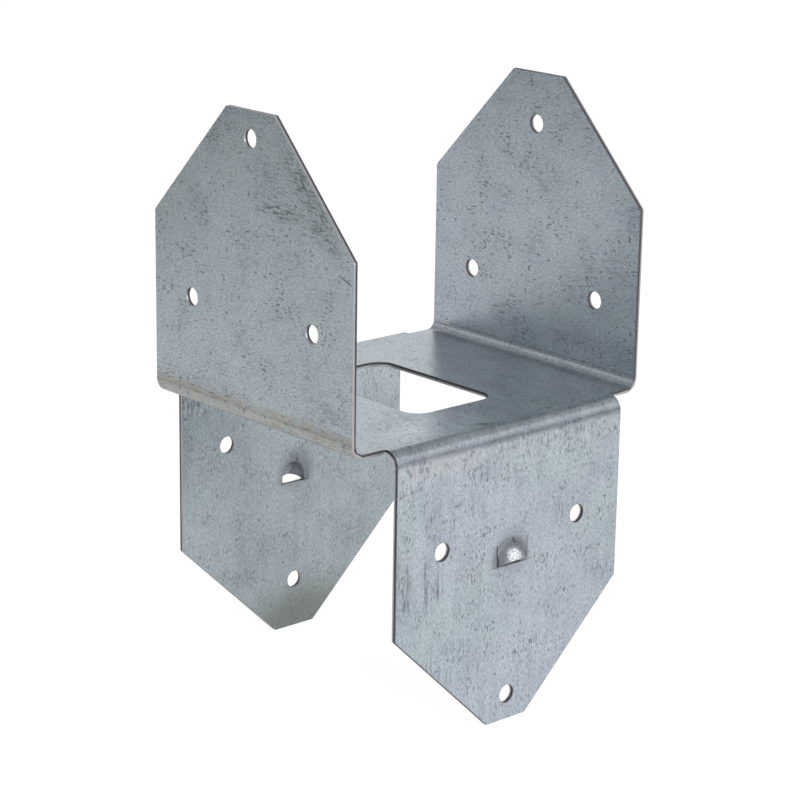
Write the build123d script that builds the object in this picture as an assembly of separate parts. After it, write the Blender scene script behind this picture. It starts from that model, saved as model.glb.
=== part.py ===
# Timber post base: one galvanised sheet, cut, pierced, pressed and folded. Two flanges
# stand up on either side of a post, two hang down on either side of the beam under it.
# Millimetres, +Z up. Origin: the middle of the plate, half way through the sheet.
# +X runs from one upper flange to the other, +Y from one lower flange to the other.
import os
from build123d import *

# Sheet
sheet = 1.2
bend_radius = 2.4  # on the inside of each fold

# Spaces between facing flanges, inside face to inside face
post_gap = 90.5  # along X: a dressed 4x4 post with a little room
beam_gap = 79.4  # along Y: two dressed 2x timbers side by side

# Flange outlines: straight sides up to a shoulder, then a slope each side to a short
# flat tip. All heights here are over the sheet, from the far face of the plate.
upper_width = 73.0
upper_height = 74.6
upper_shoulder = 45.8
upper_tip = 17.5
lower_width = 73.0
lower_height = 74.6
lower_shoulder = 45.8
lower_tip = 12.7
corner_radius = 0.6  # at each shoulder and at both ends of the tip
notch_radius = 0.7  # in the blank's inner corners, between two flanges

# Window through the plate, longer along Y
window_width = 26.2
window_length = 42.0
window_radius = 4.5

# Nail holes, three in each flange: a pair side by side and one near the tip. Facing
# flanges differ by row_step, so that nails driven from both sides miss each other.
nail_hole = 4.5
pair_spacing = 44.4
pair_height = 20.4  # in the flange with the low set
row_step = 6.4
tip_margin = 6.5  # from the tip to the hole near it, in the flange with the high set

# Nail guide in each lower flange: a hood pressed outwards, half a round dome with a short
# straight run below it. Its mouth is turned away from the plate, so that a nail can be
# driven through it at a slant.
guide_radius = 4.5  # where the hood leaves the flange's outer face
guide_reach = 3.1  # how far the hood stands out
guide_wall = 1.1  # the sheet thins a little as it is drawn
guide_blend = 0.7  # rounding from the flat face into the hood
guide_run = 1.6  # straight run between the half dome and the mouth
mouth_height = 34.8  # the cut across the mouth
mouth_rise = 2.0  # the hood's lip draws back this far towards the plate

half_sheet = sheet / 2


def flange_outline(width, height, shoulder, tip):
    """A flange seen square on, with the bend along the sketch's X and the tip up."""
    outline = make_face(
        Polyline(
            (-width / 2, -half_sheet),
            (-width / 2, shoulder - half_sheet),
            (-tip / 2, height - half_sheet),
            (tip / 2, height - half_sheet),
            (width / 2, shoulder - half_sheet),
            (width / 2, -half_sheet),
            close=True,
        )
    )
    return fillet(outline.vertices().filter_by(lambda v: v.Y > 0), corner_radius)


def channel(gap, width, height, shoulder, tip):
    """One strip folded up at both ends: a flat web along X and two flanges in outline."""
    outside = Rectangle(gap + 2 * sheet, 2 * height, align=(Align.CENTER, Align.MIN))
    outside = fillet(outside.vertices().group_by(Axis.Y)[0], bend_radius + sheet)
    inside = Pos(0, sheet) * Rectangle(gap, 2 * height, align=(Align.CENTER, Align.MIN))
    inside = fillet(inside.vertices().group_by(Axis.Y)[0], bend_radius)
    section = Plane.XZ * Pos(0, -half_sheet) * (outside - inside)
    strip = extrude(section, width / 2, both=True)
    outline = Plane.YZ * flange_outline(width, height, shoulder, tip)
    return strip & extrude(outline, gap / 2 + 2 * sheet, both=True)


def nail_cutters(gap, height):
    """Drills for both flanges of a channel: the low set at +X and the high set at -X."""
    pair = pair_height - half_sheet
    near_tip = height - half_sheet - tip_margin - row_step
    low_set = [(-pair_spacing / 2, pair), (pair_spacing / 2, pair), (0, near_tip)]
    drills = []
    for side, step in ((1, 0), (-1, row_step)):
        for across, up in low_set:
            place = Pos(side * (gap + sheet) / 2, across, up + step) * Rot(0, 90, 0)
            drills.append(place * Cylinder(nail_hole / 2, 2 * sheet))
    return drills


def guide_section(ball, middle, rim):
    """Half of the pressed sheet cut through the dome's axis, which is the sketch's X."""

    def behind(face, radius, blend):
        """All that lies behind one surface of the sheet, rounded where the dome starts."""
        flat = Pos(face, 0) * Rectangle(2 * ball, rim, align=(Align.MAX, Align.MIN))
        ahead = Pos(face, 0) * Rectangle(2 * ball, rim, align=(Align.MIN, Align.MIN))
        surface = flat + (Pos(middle, 0) * Circle(radius) & ahead)
        on_face = surface.vertices().group_by(Axis.X)[-2].sort_by(Axis.Y)
        return fillet(on_face[-2], blend)

    outer = behind(0, ball, guide_blend)
    inner = behind(-sheet, ball - guide_wall, guide_blend + guide_wall)
    return outer - inner


def press_guide(flange, outer_face):
    """Press the hood into the flange at +X, mouth up, and return the flange."""
    # The hood's section is the cap of a circle whose middle lies behind the outer face.
    ball = (guide_radius**2 + guide_reach**2) / (2 * guide_reach)
    rim = guide_radius + 2 * guide_blend
    half_section = guide_section(ball, guide_reach - ball, rim)
    dome = revolve(half_section, Axis.X, -180)
    half_run = extrude(half_section, guide_run)
    hood = dome + half_run + mirror(half_run, Plane.XZ)
    # The flange is cut square across the mouth. Past its outer face the lip leans back.
    kept_outline = make_face(
        Polyline(
            (-2 * sheet, guide_run),
            (0, guide_run),
            (2 * guide_reach, guide_run - 2 * mouth_rise),
            (2 * guide_reach, -rim),
            (-2 * sheet, -rim),
            close=True,
        )
    )
    kept = extrude(Plane.XZ * kept_outline, rim, both=True)
    patch = Rot(0, 90, 0) * Cylinder(rim, 4 * sheet)
    patch += Pos(0, 0, guide_run / 2) * Box(4 * sheet, 2 * rim, guide_run)
    dome_at = Pos(outer_face, 0, mouth_height - half_sheet - guide_run)
    return flange - dome_at * (patch & kept) + dome_at * (hood & kept)


upper = channel(post_gap, upper_width, upper_height, upper_shoulder, upper_tip)
upper -= nail_cutters(post_gap, upper_height)

lower = channel(beam_gap, lower_width, lower_height, lower_shoulder, lower_tip)
for turn in (0, 180):
    lower = Rot(0, 0, turn) * press_guide(Rot(0, 0, -turn) * lower, beam_gap / 2 + sheet)
lower -= nail_cutters(beam_gap, lower_height)
# The lower pair hangs down, and its gap runs along Y.
lower = Rot(0, 0, 90) * Rot(180, 0, 0) * lower

# A small round in each inner corner of the blank, where the two webs cross.
corner = Rectangle(notch_radius, notch_radius, align=Align.MIN)
corner -= Pos(notch_radius, notch_radius) * Circle(notch_radius)
corner = Pos(lower_width / 2, upper_width / 2) * corner
quarter = extrude(corner, half_sheet, both=True)
notches = [quarter, mirror(quarter, Plane.YZ)]
notches += [mirror(piece, Plane.XZ) for piece in notches]

window = RectangleRounded(window_width, window_length, window_radius)
post_base = upper + lower + notches - extrude(window, sheet, both=True)

os.makedirs("parts", exist_ok=True)
export_step(post_base, "parts/post_base.step")
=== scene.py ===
from math import atan2, copysign, cos, pi, radians, sin
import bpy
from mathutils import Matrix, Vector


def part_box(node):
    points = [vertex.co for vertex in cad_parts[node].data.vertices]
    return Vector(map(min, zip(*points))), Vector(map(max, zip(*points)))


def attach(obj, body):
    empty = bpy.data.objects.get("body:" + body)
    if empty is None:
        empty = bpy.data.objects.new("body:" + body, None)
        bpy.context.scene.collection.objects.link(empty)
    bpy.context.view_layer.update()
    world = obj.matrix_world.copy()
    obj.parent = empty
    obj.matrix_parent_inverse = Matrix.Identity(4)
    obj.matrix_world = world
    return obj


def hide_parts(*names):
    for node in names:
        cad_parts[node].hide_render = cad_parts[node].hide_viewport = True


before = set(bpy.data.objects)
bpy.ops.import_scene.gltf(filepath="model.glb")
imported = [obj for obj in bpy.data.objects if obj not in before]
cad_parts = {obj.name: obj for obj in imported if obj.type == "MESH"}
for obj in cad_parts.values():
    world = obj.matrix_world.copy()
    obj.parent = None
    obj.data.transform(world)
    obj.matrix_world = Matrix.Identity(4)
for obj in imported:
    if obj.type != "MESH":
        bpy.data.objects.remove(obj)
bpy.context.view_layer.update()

from types import SimpleNamespace

import bmesh
import bpy
from mathutils import Matrix, Vector

# The folded sheet. One piece of galvanised steel, cut and pierced flat, then pressed and
# folded. Its shape is the model's own solid. Shears and punches leave every cut edge a
# little round, so the piece shown is that solid with its edges eased.
sheet = 0.0012
bend_radius = 0.0024  # inside each fold
beam_gap = 0.0794  # between the lower flanges
edge_ease = 0.00013
ease_steps = 2
weld_distance = 1e-6
flat_angle = radians(0.5)  # faces that meet at less than this are one face
sharp_angle = radians(50)  # faces that meet at more than this have a cut edge between them
face_finish, cut_finish, rim_finish = 0, 1, 2  # material slots of the piece

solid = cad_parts["post_base"]
form = bmesh.new()
form.from_mesh(solid.data)
bmesh.ops.remove_doubles(form, verts=form.verts, dist=weld_distance)
bmesh.ops.dissolve_limit(form, angle_limit=flat_angle, verts=form.verts, edges=form.edges)


def patches(form):
    """Groups of faces that no sharp edge divides, the largest area first."""
    left = set(form.faces)
    found = []
    while left:
        patch = [left.pop()]
        for face in patch:
            for edge in face.edges:
                if edge.calc_face_angle(0) > sharp_angle:
                    continue
                for beside in edge.link_faces:
                    if beside in left:
                        left.remove(beside)
                        patch.append(beside)
        found.append(patch)
    return sorted(found, key=lambda patch: -sum(face.calc_area() for face in patch))


# The two largest patches are the two sides of the sheet. All the others are cut faces.
for rank, patch in enumerate(patches(form)):
    for face in patch:
        face.material_index = face_finish if rank < 2 else cut_finish
cut_edges = [edge for edge in form.edges if edge.calc_face_angle(0) > sharp_angle]
bmesh.ops.bevel(
    form, geom=cut_edges, offset=edge_ease, offset_type="OFFSET", segments=ease_steps,
    profile=0.5, affect="EDGES", clamp_overlap=False, material=rim_finish,
)
for face in form.faces:
    face.smooth = True

piece_mesh = bpy.data.meshes.new("folded_sheet")
form.to_mesh(piece_mesh)
form.free()

# Where each point lay on the flat blank, and how deep in the sheet. The rolling marks, the
# grain and the wear all follow the blank, round the folds and down the flanges.
middle_radius = bend_radius + sheet / 2
fold_length = middle_radius * pi / 2
low_corner, high_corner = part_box("post_base")
fold_x = high_corner.x - sheet - bend_radius  # where the upper flanges' folds start
fold_y = beam_gap / 2 - bend_radius  # where the lower flanges' folds start


def unfold(across, height, fold_start):
    """Distance along the blank, and depth towards the outside of the fold."""
    out, up = across - fold_start, middle_radius - height
    if up > 0:
        return fold_start + middle_radius * atan2(out, up), Vector((out, up)).length - middle_radius
    return fold_start + fold_length - up, out - middle_radius


def on_blank(point):
    """The point's place on the blank, and how far it lies towards the plate's top side."""
    x, y, z = point
    if abs(x) > fold_x:
        along, depth = unfold(abs(x), z, fold_x)
        return (copysign(along, x), y, -depth)
    if abs(y) > fold_y:
        along, depth = unfold(abs(y), -z, fold_y)
        return (x, copysign(along, y), depth)
    return (x, y, z)


blank = piece_mesh.attributes.new("blank", "FLOAT_VECTOR", "POINT")
for vertex in piece_mesh.vertices:
    blank.data[vertex.index].vector = on_blank(vertex.co)

folded_sheet = bpy.data.objects.new("folded_sheet", piece_mesh)
bpy.context.scene.collection.objects.link(folded_sheet)
evened = folded_sheet.modifiers.new("evened", "WEIGHTED_NORMAL")
evened.keep_sharp = True


# Helpers for the sheet's finishes. Each makes a few shader nodes and returns the output that
# the next one reads. A mask runs from 0 to 1 over the blank.
def add(tree, kind, values=(), **settings):
    """A shader node of one kind, with its settings and its inputs' values or links."""
    node = tree.nodes.new(kind)
    for name, value in settings.items():
        setattr(node, name, value)
    for name, value in dict(values).items():
        if isinstance(value, bpy.types.NodeSocket):
            tree.links.new(value, node.inputs[name])
        else:
            node.inputs[name].default_value = value
    return node


def maths(tree, operation, first, second=0.0):
    return add(tree, "ShaderNodeMath", {0: first, 1: second}, operation=operation).outputs[0]


def times(tree, *factors):
    """The product of several masks and numbers."""
    product = factors[0]
    for factor in factors[1:]:
        product = maths(tree, "MULTIPLY", product, factor)
    return product


def most(tree, *masks):
    """The strongest of several masks."""
    strongest = masks[0]
    for mask in masks[1:]:
        strongest = maths(tree, "MAXIMUM", strongest, mask)
    return strongest


def ramp(tree, value, low, high, out_low=0.0, out_high=1.0):
    """The value's range from low to high, mapped to out_low and out_high and held there."""
    limits = {"From Min": low, "From Max": high, "To Min": out_low, "To Max": out_high}
    node = add(tree, "ShaderNodeMapRange", {"Value": value, **limits}, interpolation_type="SMOOTHSTEP")
    return node.outputs[0]


def band(tree, value, low, high, soft):
    """1 between low and high, fading out over soft on either side."""
    rise = ramp(tree, value, low - soft, low)
    return times(tree, rise, ramp(tree, value, high, high + soft, 1, 0))


def tint(tree, share, first, second, blend="MIX"):
    """Two colours, mixed by a share."""
    node = add(tree, "ShaderNodeMix", data_type="RGBA", blend_type=blend)
    for socket, value in zip((0, 6, 7), (share, first, second)):
        if isinstance(value, bpy.types.NodeSocket):
            tree.links.new(value, node.inputs[socket])
        else:
            node.inputs[socket].default_value = value if socket == 0 else (*value, 1)
    return node.outputs[2]


def spot(tree, place, centre, reach, turn=0):
    """A soft oval on the blank, 1 in its middle, of these half sizes."""
    any_depth = 1000
    oval = {"Location": (*centre, 0), "Rotation": (0, 0, turn), "Scale": (*reach, any_depth)}
    local = add(tree, "ShaderNodeMapping", {"Vector": place, **oval}, vector_type="TEXTURE")
    away = add(tree, "ShaderNodeVectorMath", {0: local.outputs[0]}, operation="LENGTH")
    return ramp(tree, away.outputs["Value"], 0.3, 1, 1, 0)


def spots(tree, place, ovals):
    """Several soft ovals in one mask."""
    return most(tree, *(spot(tree, place, *oval) for oval in ovals))


def noise(tree, place, scale, detail=3.0, roughness=0.5, stretch=(1, 1), shift=(0, 0)):
    """Noise over the blank, its scale in features per metre, different on each side."""
    depth_stretch = 25
    spread = {"Location": (*shift, 0), "Scale": (*stretch, depth_stretch)}
    moved = add(tree, "ShaderNodeMapping", {"Vector": place, **spread})
    node = add(
        tree, "ShaderNodeTexNoise",
        {"Vector": moved.outputs[0], "Scale": scale, "Detail": detail, "Roughness": roughness},
    )
    return node.outputs["Fac"]


# The zinc itself: from a hot bath, rolled level, blue grey and finely mottled. The coil was
# rolled along the blank's Y, so its flecks and streaks run that way.
def rolled_zinc():
    """A node group that puts out the zinc's patterns, which all three finishes share."""
    group = bpy.data.node_groups.new("rolled_zinc", "ShaderNodeTree")
    group.interface.new_socket("Place", in_out="INPUT", socket_type="NodeSocketVector")
    place = group.nodes.new("NodeGroupInput").outputs["Place"]

    crowd = noise(group, place, 130, 3, 0.6, shift=(0.7, 0.2))
    dashes = noise(group, place, 1800, 2, 0.6, stretch=(1, 0.36), shift=(0.3, 0.1))
    dashes = maths(group, "ADD", dashes, times(group, crowd, 0.45))
    cells = add(group, "ShaderNodeTexVoronoi", {"Vector": place, "Scale": 260.0}).outputs
    dots = ramp(group, cells["Distance"], 0.07, 0.13, 1, 0)
    picked = add(group, "ShaderNodeSeparateColor", {0: cells["Color"]}).outputs[0]
    wisps = noise(group, place, 1900, 3, 0.6, stretch=(1, 0.17), shift=(0.8, 0.3))
    curls = noise(group, place, 620, 3, 0.55, stretch=(1, 0.7), shift=(0.9, 0.4))
    curls = maths(group, "ABSOLUTE", maths(group, "SUBTRACT", curls, 0.5))
    curls = ramp(group, curls, 0.0, 0.035, 1, 0)

    patterns = {
        "Cloud": noise(group, place, 90, 4, 0.6),
        "Grain": noise(group, place, 2400, 3, 0.75, stretch=(1, 0.45)),
        "Flecks": ramp(group, dashes, 0.84, 0.91),
        "Streaks": noise(group, place, 420, 4, 0.65, stretch=(1, 0.2), shift=(0.1, 0.5)),
        "Wisps": ramp(group, wisps, 0.515, 0.6),
        "Specks": times(group, dots, ramp(group, picked, 0.5, 0.6)),
        "Scribble": times(group, curls, ramp(group, crowd, 0.45, 0.62)),
    }
    for name in patterns:
        group.interface.new_socket(name, in_out="OUTPUT", socket_type="NodeSocketFloat")
    out = group.nodes.new("NodeGroupOutput")
    for name, pattern in patterns.items():
        group.links.new(pattern, out.inputs[name])
    return group


zinc_group = rolled_zinc()


def new_finish(name):
    """A material, its Principled shader, the place on the blank, and the zinc's patterns."""
    material = bpy.data.materials.new(name)
    material.use_nodes = True
    tree = material.node_tree
    shader = tree.nodes["Principled BSDF"]
    place = add(tree, "ShaderNodeAttribute", attribute_name="blank").outputs["Vector"]
    zinc = add(tree, "ShaderNodeGroup", node_tree=zinc_group)
    tree.links.new(place, zinc.inputs["Place"])
    return material, tree, shader, place, zinc.outputs


def face_places(tree, place):
    """Where a point lies on the blank and in the sheet, and two patterns that wear follows."""
    x, y, depth = add(tree, "ShaderNodeSeparateXYZ", {0: place}).outputs
    ragged = noise(tree, place, 260, 3, 0.6, shift=(0.2, 0.6))
    gall = noise(tree, place, 1000, 3, 0.6, stretch=(1, 0.4), shift=(0.5, 0.3))
    return SimpleNamespace(
        place=place, x=x, y=y, depth=depth,
        out_x=maths(tree, "ABSOLUTE", x),
        out_y=maths(tree, "ABSOLUTE", y),
        topside=ramp(tree, depth, -sheet / 4, sheet / 4),
        underside=ramp(tree, depth, -sheet / 4, sheet / 4, 1, 0),
        ragged=ramp(tree, ragged, 0.35, 0.62),
        gall=gall,
        gall_dark=ramp(tree, gall, 0.36, 0.45, 1, 0),
    )


# The zinc on the sheet's two sides, in wide soft patches of three greys. Painted light makes
# it paler inside the far lower and right upper flanges and at the plate's front, and painted
# shade makes it duller along one edge of the left upper flange.
blue_grey = (0.424, 0.480, 0.538)
green_grey = (0.418, 0.478, 0.514)
lilac_grey = (0.443, 0.480, 0.545)
underside_grey = (0.376, 0.432, 0.450)
front_painted_light = ((-0.015, -0.031), (0.022, 0.011))  # centre and half sizes on the blank
painted_light_full, painted_light_right = 1.3, 0.55
painted_light_gain, painted_shade_gain = 1.18, 0.91


def painted_light_and_shade(tree, at):
    """Painted light and shade: how much lighter or darker the zinc is painted, 1 where it is plain."""
    # Painted light inside the far lower flange, on all but its lower right part.
    far_flange_light = ramp(tree, at.x, -0.036, -0.012, 1, 0)
    far_flange_light = most(tree, far_flange_light, ramp(tree, at.y, 0.048, 0.062, 1, 0))
    far_flange_light = times(tree, far_flange_light, ramp(tree, at.y, 0.041, 0.046), at.underside)
    # Painted light inside the right upper flange, growing towards its tip.
    right_flange_light = times(tree, ramp(tree, at.x, 0.060, 0.085), at.topside, painted_light_right)
    plate_front_light = times(tree, spot(tree, at.place, *front_painted_light), at.topside, painted_light_full)
    paler = most(tree, far_flange_light, right_flange_light, plate_front_light)
    paler = ramp(tree, paler, 0, painted_light_full, 1, painted_light_gain)
    # Painted shade outside the left upper flange, along its far edge.
    dulled = times(tree, ramp(tree, at.x, -0.09, -0.06, 1, 0), ramp(tree, at.y, 0.008, 0.034))
    dulled = times(tree, dulled, at.underside)
    return times(tree, paler, ramp(tree, dulled, 0, 1, 1, painted_shade_gain))


def zinc_colour(tree, at, zinc):
    """The zinc before any wear, with its grain, its rolling streaks, and painted light and shade."""
    colour = tint(tree, ramp(tree, zinc["Cloud"], 0.35, 0.65), green_grey, blue_grey)
    wide = noise(tree, at.place, 26, 2, 0.5, shift=(0.4, 0.9))
    colour = tint(tree, ramp(tree, wide, 0.42, 0.62), colour, lilac_grey)
    colour = tint(tree, times(tree, at.underside, 0.6), colour, underside_grey)
    grain = ramp(tree, zinc["Grain"], 0.25, 0.75, 0.72, 1.28)
    streaks = ramp(tree, zinc["Streaks"], 0.3, 0.7, 0.93, 1.07)
    clouds = ramp(tree, zinc["Cloud"], 0.35, 0.65, 1.03, 0.97)
    shade = times(tree, grain, streaks, clouds, painted_light_and_shade(tree, at))
    grey = add(tree, "ShaderNodeCombineColor", {0: shade, 1: shade, 2: shade}).outputs[0]
    return tint(tree, 1.0, colour, grey, "MULTIPLY")


# The upper folds. The sheet was drawn over the tool there, so its outside is rubbed bare of
# bloom, with brown drag lines along the fold and grime above it.
rubbed_beige = (0.45, 0.43, 0.39)
drag_brown = (0.25, 0.21, 0.17)
drag_share = 0.45
rubbed_past = 0.0008  # how far past the fold the rubbed zinc reaches
top_line_reach = (0.0001, 0.0003)  # from the fold's end, along the blank
grime_reach = (0.0014, 0.0035)


def past_fold(tree, along, fold_start, reach, soft):
    """A band beside a fold, its reach measured from the fold's end along the blank."""
    near_end, far_end = (fold_start + fold_length + step for step in reach)
    return band(tree, along, near_end, far_end, soft)


def upper_fold_wear(tree, at, colour):
    """The colour with the upper folds' wear, and the mask of the rubbed zinc."""
    rubbed = band(tree, at.out_x, fold_x, fold_x + fold_length + rubbed_past, 0.0022)
    rubbed = times(tree, rubbed, at.underside)
    beige_share = times(tree, rubbed, ramp(tree, at.ragged, 0, 1, 0.3, 0.75))
    colour = tint(tree, beige_share, colour, rubbed_beige)
    drag = noise(tree, at.place, 1500, 3, 0.6, stretch=(1, 0.12), shift=(0.6, 0.2))
    drag = times(tree, ramp(tree, drag, 0.5, 0.62), rubbed, ramp(tree, at.ragged, 0, 1, 0.3, 1))
    grime = past_fold(tree, at.out_x, fold_x, grime_reach, 0.002)
    grime = times(tree, grime, at.underside, at.gall_dark)
    top_line = past_fold(tree, at.out_x, fold_x, top_line_reach, 0.0003)
    top_line = times(tree, top_line, most(tree, at.ragged, ramp(tree, at.gall, 0.35, 0.6, 0, 1.2)))
    lines = times(tree, most(tree, drag, top_line, grime), drag_share)
    return tint(tree, lines, colour, drag_brown), rubbed


# The lower folds. A dark line of painted shade lies along the fold's lower end, then scuffs,
# then galled zinc that the sheet dragged over the tool's shoulder.
shade_line_slate = (0.13, 0.13, 0.17)
scuffed_grey = (0.49, 0.48, 0.48)
galled_pale = (0.62, 0.66, 0.72)
shade_line_share, galled_share = 0.5, 0.35
shade_line_reach = (-0.0011, -0.0002)  # from the fold's end, along the blank
scuffed_reach = (0.0010, 0.0030)
galled_reach = (0.0055, 0.0095)
gall_wander = 0.008  # how far the clouds push the galled band along the blank


def lower_fold_shade_and_wear(tree, at, zinc, colour):
    """The colour with the lower folds' painted shade line and wear, and the mask of the galled zinc.
    """
    # Painted shade: a dark line along the lower end of the fold.
    shade_line = past_fold(tree, at.out_y, fold_y, shade_line_reach, 0.0009)
    colour = tint(tree, times(tree, shade_line, shade_line_share), colour, shade_line_slate)
    wandering = maths(tree, "ADD", at.out_y, times(tree, zinc["Cloud"], gall_wander))
    galled = past_fold(tree, wandering, fold_y, galled_reach, 0.0022)
    scuffed = past_fold(tree, at.out_y, fold_y, scuffed_reach, 0.0020)
    scuffed = times(tree, scuffed, ramp(tree, at.x, -0.025, 0.015, 1, 0.35))
    scuffed = times(tree, scuffed, ramp(tree, at.ragged, 0, 1, 0.1, 0.6))
    colour = tint(tree, scuffed, colour, scuffed_grey)
    pale = times(tree, ramp(tree, at.gall, 0.54, 0.64), galled, galled_share)
    return tint(tree, pale, colour, galled_pale), galled


# The nail guides. Pressing them left two straight creases from the die. Their colour holds
# painted shade along the creases, as a shadow and a dark ring round each hood, on the hood
# itself and in a dark spot on its top, and a painted highlight on the hood. Places are those
# of the near flange, and the far one mirrors them.
guide_middle = (0, -0.0722, 0)
hood_shadow_spot = ((0.0006, -0.0693), (0.0078, 0.0078))
foot_shade_spot = ((0.0008, -0.0671), (0.0006, 0.0009))
highlight_spot = ((-0.0008, -0.0702), (0.0036, 0.0036))
shade_ring_reach = (0.0036, 0.0054)  # from the guide's middle
mouth_line = (0.0730, 0.0736)  # where the ring ends, at the hood's mouth
left_crease = ((-0.0045, -0.0043), 0.00018, (0.0678, 0.0731), 0.0003)
right_crease = ((0.0052, 0.0056), 0.0004, (0.0672, 0.0724), 0.0008)
hood_shadow_grey = (0.20, 0.21, 0.23)
shade_ring_grey = (0.13, 0.135, 0.145)
crease_shade_grey = (0.06, 0.06, 0.065)
highlight_pale = (0.77, 0.79, 0.83)
shadow_share, foot_shade_share = 0.55, 0.8
left_crease_share, right_crease_share = 0.8, 0.35
ring_dulling = 6.0


def crease(tree, at, across, across_soft, along, along_soft):
    """Painted shade along a straight crease in the top side, along one edge of the die's mark."""
    line = band(tree, at.x, *across, across_soft)
    return times(tree, line, band(tree, at.out_y, *along, along_soft), at.topside)


def guide_shade_and_highlight(tree, at, zinc, colour):
    """The colour with the guides' painted shade and painted highlight, the mask of dulled zinc, and
    the hoods' dimples.
    """
    flipped = times(tree, at.out_y, -1)
    guide = add(tree, "ShaderNodeCombineXYZ", {0: at.x, 1: flipped}).outputs[0]
    stands = ramp(tree, maths(tree, "ABSOLUTE", at.depth), sheet * 0.6, sheet * 1.4)
    mottle = ramp(tree, noise(tree, guide, 2000, 2, 0.6), 0.42, 0.58)

    # Painted shade: a shadow round each hood, and the hood itself darker.
    hood_shadow = ramp(tree, zinc["Streaks"], 0.3, 0.65, 0.6, 1)
    hood_shadow = times(tree, spot(tree, guide, *hood_shadow_spot), hood_shadow)
    hood = times(tree, stands, ramp(tree, at.topside, 0, 1, 0.2, 0.8))
    hood = times(tree, hood, ramp(tree, mottle, 0, 1, 1, 0.5))
    colour = tint(tree, times(tree, most(tree, hood_shadow, hood), shadow_share), colour, hood_shadow_grey)

    # Painted shade: a dark ring round each hood, ending at its mouth, stronger on the top side.
    away = add(tree, "ShaderNodeVectorMath", {0: guide, 1: guide_middle}, operation="DISTANCE")
    ring = band(tree, away.outputs["Value"], *shade_ring_reach, 0.0012)
    ring = times(tree, ring, ramp(tree, at.out_y, *mouth_line, 1, 0))
    ring = times(tree, ring, ramp(tree, at.depth, -sheet / 4, sheet / 4, 0.12, 0.45))
    colour = tint(tree, ring, colour, shade_ring_grey)

    # Painted shade: dark lines along the die's creases and a dark spot at the hood's top.
    crease_shade = most(
        tree,
        times(tree, crease(tree, at, *left_crease), left_crease_share),
        times(tree, crease(tree, at, *right_crease), right_crease_share),
        times(tree, spot(tree, guide, *foot_shade_spot), foot_shade_share),
    )
    colour = tint(tree, crease_shade, colour, crease_shade_grey)

    # Painted highlight: a bright patch on the hood, broken up by the gall noise.
    painted_highlight = times(tree, spot(tree, guide, *highlight_spot), stands)
    painted_highlight = maths(tree, "ADD", painted_highlight, times(tree, at.gall, 1.2))
    painted_highlight = times(tree, ramp(tree, painted_highlight, 1.2, 1.6), stands, ramp(tree, mottle, 0, 1, 0.4, 1))
    colour = tint(tree, painted_highlight, colour, highlight_pale)

    dulled = most(tree, hood_shadow, stands, times(tree, ring, ring_dulling))
    return colour, dulled, times(tree, mottle, stands, 0.3)


# Marks of handling: smears and rubs on the left upper flange, strokes on the plate, smears
# and long streaks on the near lower flange, a scratch and pits. A painted shade makes the far
# lower tip darker and greener. Each has its centre, its half sizes and its turn on the blank.
left_slope = radians(-41)  # the left upper flange's sloping edge
slope_smear = ((-0.1005, -0.0215), (0.020, 0.0055), left_slope)
arc_smear = ((-0.097, -0.012), (0.0035, 0.013))
plate_strokes = (
    ((-0.0055, -0.0362), (0.0060, 0.0014), radians(-24)),
    ((0.0155, -0.0360), (0.0042, 0.0010), radians(-3)),
)
near_smears = (((-0.026, -0.0588), (0.003, 0.006)), ((-0.034, -0.0720), (0.0035, 0.012)))
near_streaks = ((-0.030, -0.080), (0.014, 0.030))
left_scratch = ((-0.0854, -0.0337), (0.0036, 0.0003), radians(-74))
pit_places = ((-0.0993, 0.0003), (-0.1001, -0.0091), (-0.0785, 0.0314), (-0.0905, 0.0205))
pit_size = (0.0005, 0.0004)
far_tip_shade = ((0.003, 0.115), (0.030, 0.019))
tip_shade_green = (0.19, 0.205, 0.165)
mark_dark = (0.075, 0.088, 0.098)
fleck_share, far_fleck_share, scribble_share, speck_share = 0.66, 0.46, 0.16, 0.55
handling_share, gall_share, dent_share, tip_shade_share = 0.66, 0.5, 0.7, 0.75


def handling_marks(tree, at, zinc):
    """Smears, strokes, long streaks and rubs in one mask."""
    on_slope = spot(tree, at.place, *slope_smear)
    upper = times(tree, most(tree, on_slope, spot(tree, at.place, *arc_smear)), at.underside)
    smeared = most(tree, upper, times(tree, spots(tree, at.place, near_smears), at.topside))
    wisped = most(tree, ramp(tree, zinc["Cloud"], 0.48, 0.64, 0, 0.4), smeared)
    smears = times(tree, smeared, ramp(tree, zinc["Streaks"], 0.42, 0.6), 0.3)
    smears = most(tree, times(tree, wisped, zinc["Wisps"]), smears)

    strokes = times(tree, spots(tree, at.place, plate_strokes), ramp(tree, at.gall, 0.38, 0.55))
    strokes = times(tree, strokes, at.topside)

    streaks = noise(tree, at.place, 620, 2, 0.5, stretch=(1, 0.07), shift=(0.45, 0.25))
    streaks = times(tree, ramp(tree, streaks, 0.56, 0.66), spot(tree, at.place, *near_streaks))
    streaks = times(tree, streaks, at.topside, ramp(tree, at.ragged, 0, 1, 0.4, 1))

    turned = {"Vector": at.place, "Rotation": (0, 0, left_slope)}
    sloped = add(tree, "ShaderNodeMapping", turned, vector_type="TEXTURE").outputs[0]
    rubs = noise(tree, sloped, 1100, 3, 0.6, stretch=(0.22, 1), shift=(0.2, 0.7))
    rubs = times(tree, ramp(tree, rubs, 0.47, 0.6), ramp(tree, at.ragged, 0, 1, 0.35, 1))
    rubs = times(tree, rubs, on_slope, at.underside)
    return most(tree, smears, rubs, strokes, streaks)


def dents(tree, at):
    """The scratch and the pits in one mask."""
    pits = spots(tree, at.place, [(centre, pit_size) for centre in pit_places])
    return times(tree, most(tree, spot(tree, at.place, *left_scratch), pits), at.underside)


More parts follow.
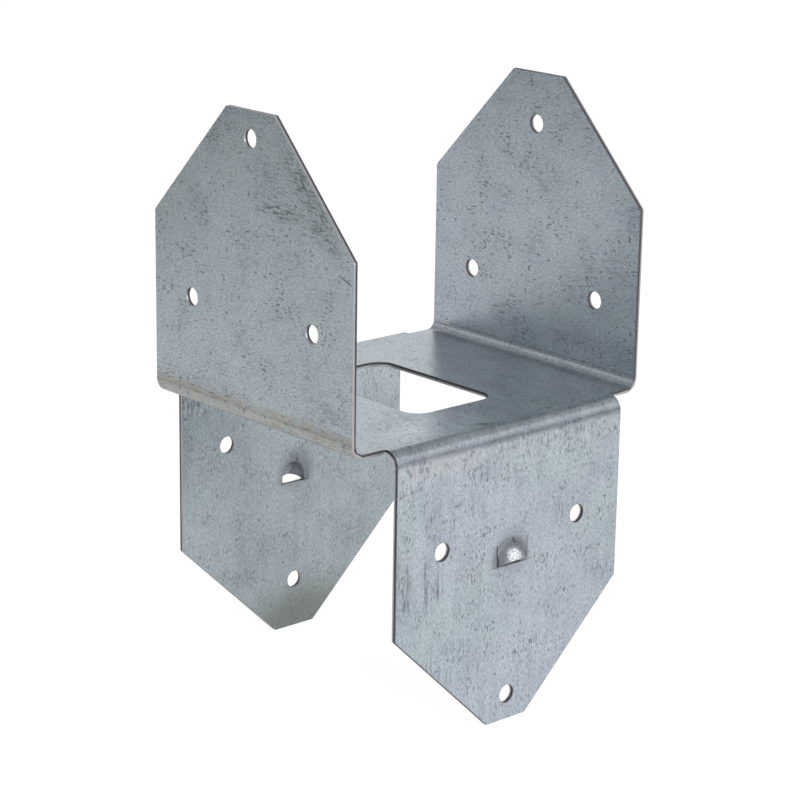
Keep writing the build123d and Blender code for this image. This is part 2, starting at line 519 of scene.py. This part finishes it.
# The three finishes of the piece: the zinc on its two sides, the bare steel across the cuts,
# and the zinc that the shear drew round every edge.
face_metal, cut_metal, torn_metal, rim_metal = 0.9, 0.8, 0.4, 0.75
clean_rough, streaked_rough, wear_rough = 0.25, 0.33, 0.16  # wear adds its own
grain_height, gall_height = 0.00006, 0.0003  # of the bump, in metres
burnished_greys = (0.35, 0.35, 0.37), (0.46, 0.46, 0.48)
broken_greys = (0.035, 0.035, 0.042), (0.070, 0.068, 0.080)
rim_greys = (0.42, 0.42, 0.43), (0.13, 0.13, 0.14)  # underside, top side
rim_brown = (0.24, 0.22, 0.20)


def galvanised_face():
    """The two sides of the sheet, with the marks of the press, the folds and handling, and painted
    light and shade.
    """
    material, tree, shader, place, zinc = new_finish("galvanised_face")
    at = face_places(tree, place)
    colour = zinc_colour(tree, at, zinc)
    colour, rubbed = upper_fold_wear(tree, at, colour)
    colour, galled = lower_fold_shade_and_wear(tree, at, zinc, colour)
    colour, guide_dulled, dimples = guide_shade_and_highlight(tree, at, zinc, colour)
    # Painted shade: the far lower tip darker and greener.
    tip_shade = times(tree, spot(tree, place, *far_tip_shade), at.underside, tip_shade_share)
    colour = tint(tree, tip_shade, colour, tip_shade_green)
    marks = most(
        tree,
        times(tree, zinc["Flecks"], ramp(tree, at.y, 0.04, 0.05, fleck_share, far_fleck_share)),
        times(tree, zinc["Scribble"], scribble_share),
        times(tree, zinc["Specks"], speck_share),
        times(tree, handling_marks(tree, at, zinc), handling_share),
        times(tree, at.gall_dark, galled, gall_share),
        times(tree, dents(tree, at), dent_share),
    )
    tree.links.new(tint(tree, marks, colour, mark_dark), shader.inputs["Base Color"])

    shader.inputs["Metallic"].default_value = face_metal
    rough = ramp(tree, zinc["Streaks"], 0.3, 0.7, clean_rough, streaked_rough)
    worn = times(tree, most(tree, marks, rubbed, guide_dulled), wear_rough)
    tree.links.new(maths(tree, "ADD", rough, worn), shader.inputs["Roughness"])

    relief = most(tree, times(tree, at.gall, galled), dimples)
    fine = {"Height": zinc["Grain"], "Strength": 0.3, "Distance": grain_height}
    fine = add(tree, "ShaderNodeBump", fine).outputs[0]
    coarse = {"Height": relief, "Strength": 0.8, "Distance": gall_height, "Normal": fine}
    coarse = add(tree, "ShaderNodeBump", coarse).outputs[0]
    tree.links.new(coarse, shader.inputs["Normal"])
    return material


def sheared_face():
    """Bare steel across the cut: torn and dark on the top side, burnished paler below."""
    material, tree, shader, place, zinc = new_finish("sheared_face")
    depth = add(tree, "ShaderNodeSeparateXYZ", {0: place}).outputs[2]
    wander = times(tree, maths(tree, "SUBTRACT", zinc["Streaks"], 0.5), 0.0004)
    torn = ramp(tree, maths(tree, "ADD", depth, wander), -0.00012, 0.00002)
    torn = times(tree, torn, ramp(tree, depth, sheet * 0.55, sheet * 0.9, 1, 0.4))
    grain = ramp(tree, zinc["Grain"], 0.3, 0.7)
    colour = tint(tree, torn, tint(tree, grain, *burnished_greys), tint(tree, grain, *broken_greys))
    tree.links.new(colour, shader.inputs["Base Color"])
    tree.links.new(ramp(tree, torn, 0, 1, cut_metal, torn_metal), shader.inputs["Metallic"])
    tree.links.new(ramp(tree, torn, 0, 1, 0.35, 0.6), shader.inputs["Roughness"])
    return material


def rounded_rim():
    """Zinc drawn over the edge by the shear: rubbed paler on the underside."""
    material, tree, shader, place, zinc = new_finish("rounded_rim")
    depth = add(tree, "ShaderNodeSeparateXYZ", {0: place}).outputs[2]
    colour = tint(tree, ramp(tree, depth, -0.0001, 0.0001), *rim_greys)
    colour = tint(tree, ramp(tree, zinc["Grain"], 0.3, 0.7, 0, 0.5), colour, rim_brown)
    tree.links.new(colour, shader.inputs["Base Color"])
    shader.inputs["Metallic"].default_value = rim_metal
    shader.inputs["Roughness"].default_value = 0.4
    return material


for finish in (galvanised_face(), sheared_face(), rounded_rim()):
    piece_mesh.materials.append(finish)

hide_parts("post_base")
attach(folded_sheet, "root")

# The floor: one white sheet. The camera sees it white, with a faint shadow under the piece,
# and the metal mirrors it as the lamps light it, brighter in front.
floor_level = low_corner.z
floor_reach = 0.68
paper_white = (0.82, 0.82, 0.82, 1)
glow_strength = 1.2
glow_in_view, glow_mirrored = 0.78, 0.6  # the glow's share for each kind of ray


def white_floor():
    """Paper that is lit by the lamps, mixed with a glow of its own."""
    material = bpy.data.materials.new("white_floor")
    material.use_nodes = True
    tree = material.node_tree
    tree.nodes.clear()
    paper = add(tree, "ShaderNodeBsdfDiffuse", {"Color": paper_white}).outputs[0]
    glow = add(tree, "ShaderNodeEmission", {"Color": (1, 1, 1, 1), "Strength": glow_strength})
    rays = add(tree, "ShaderNodeLightPath").outputs
    mirrored = most(tree, rays["Is Glossy Ray"], rays["Is Transmission Ray"])
    in_view = times(tree, rays["Is Camera Ray"], glow_in_view)
    share = most(tree, in_view, times(tree, mirrored, glow_mirrored))
    mixed = add(tree, "ShaderNodeMixShader", {0: share, 1: paper, 2: glow.outputs[0]})
    out = tree.nodes.new("ShaderNodeOutputMaterial")
    tree.links.new(mixed.outputs[0], out.inputs["Surface"])
    return material


floor_form = bmesh.new()
bmesh.ops.create_grid(floor_form, x_segments=1, y_segments=1, size=floor_reach)
floor_mesh = bpy.data.meshes.new("floor")
floor_form.to_mesh(floor_mesh)
floor_form.free()
floor = bpy.data.objects.new("floor", floor_mesh)
floor.location.z = floor_level
floor_mesh.materials.append(white_floor())
bpy.context.scene.collection.objects.link(floor)

# The light: a studio room with white walls, dark below and overhead, one large soft lamp in
# front and one above. The camera sees the room white.
below_level, wall_level, overhead_level, west_level = 0.25, 1.05, 0.4, 0.7
unmirrored_level, seen_level = 0.5, 1.04

world = bpy.data.worlds.new("studio")
bpy.context.scene.world = world
world.use_nodes = True
studio = world.node_tree
direction = add(studio, "ShaderNodeTexCoord").outputs["Generated"]
east, _, height = add(studio, "ShaderNodeSeparateXYZ", {0: direction}).outputs
rays = add(studio, "ShaderNodeLightPath").outputs
walls = ramp(studio, height, 0.04, 0.2, below_level, wall_level)
ceiling = ramp(studio, height, 0.4, 0.7, 1, overhead_level)
west_wall = ramp(studio, east, -0.45, 0.1, west_level, 1)
mirrored = ramp(studio, rays["Is Glossy Ray"], 0, 1, unmirrored_level, 1)
seen = ramp(studio, rays["Is Camera Ray"], 0, 1, 0, seen_level)
strength = most(studio, times(studio, walls, ceiling, west_wall, mirrored), seen)
room = studio.nodes["Background"]
room.inputs["Color"].default_value = (1, 1, 1, 1)
studio.links.new(strength, room.inputs["Strength"])


def soft_lamp(name, place, size, power):
    """A square area lamp that faces the middle of the piece."""
    light = bpy.data.lights.new(name, "AREA")
    light.size = size
    light.energy = power
    lamp = bpy.data.objects.new(name, light)
    lamp.location = place
    lamp.rotation_euler = Vector(place).to_track_quat("Z", "Y").to_euler()
    bpy.context.scene.collection.objects.link(lamp)


soft_lamp("front_lamp", (-0.05, -1.5, 0.35), 1.7, 25)
soft_lamp("top_lamp", (-0.5, -0.4, 1.4), 0.9, 8)

# The camera: a long lens, a little above the piece and in front of its left corner. It
# stands in the direction of azimuth and elevation, and looks along pan and tilt.
camera_azimuth = radians(-41.97)
camera_elevation = radians(16.11)
camera_distance = 0.6295
camera_pan = radians(42.02)
camera_tilt = radians(-16.355)
camera_roll = radians(-0.937)
lens_length = 115.14
sensor_width = 36

camera_data = bpy.data.cameras.new("camera")
camera_data.sensor_width = sensor_width
camera_data.lens = lens_length
camera = bpy.data.objects.new("camera", camera_data)
camera.location = camera_distance * Vector((
    sin(camera_azimuth) * cos(camera_elevation),
    -cos(camera_azimuth) * cos(camera_elevation),
    sin(camera_elevation),
))
turn = Matrix.Rotation(-camera_pan, 4, "Z") @ Matrix.Rotation(pi / 2 + camera_tilt, 4, "X")
camera.rotation_euler = (turn @ Matrix.Rotation(-camera_roll, 4, "Z")).to_euler()
bpy.context.scene.collection.objects.link(camera)
bpy.context.scene.camera = camera
bpy.context.scene.view_settings.view_transform = "Standard"
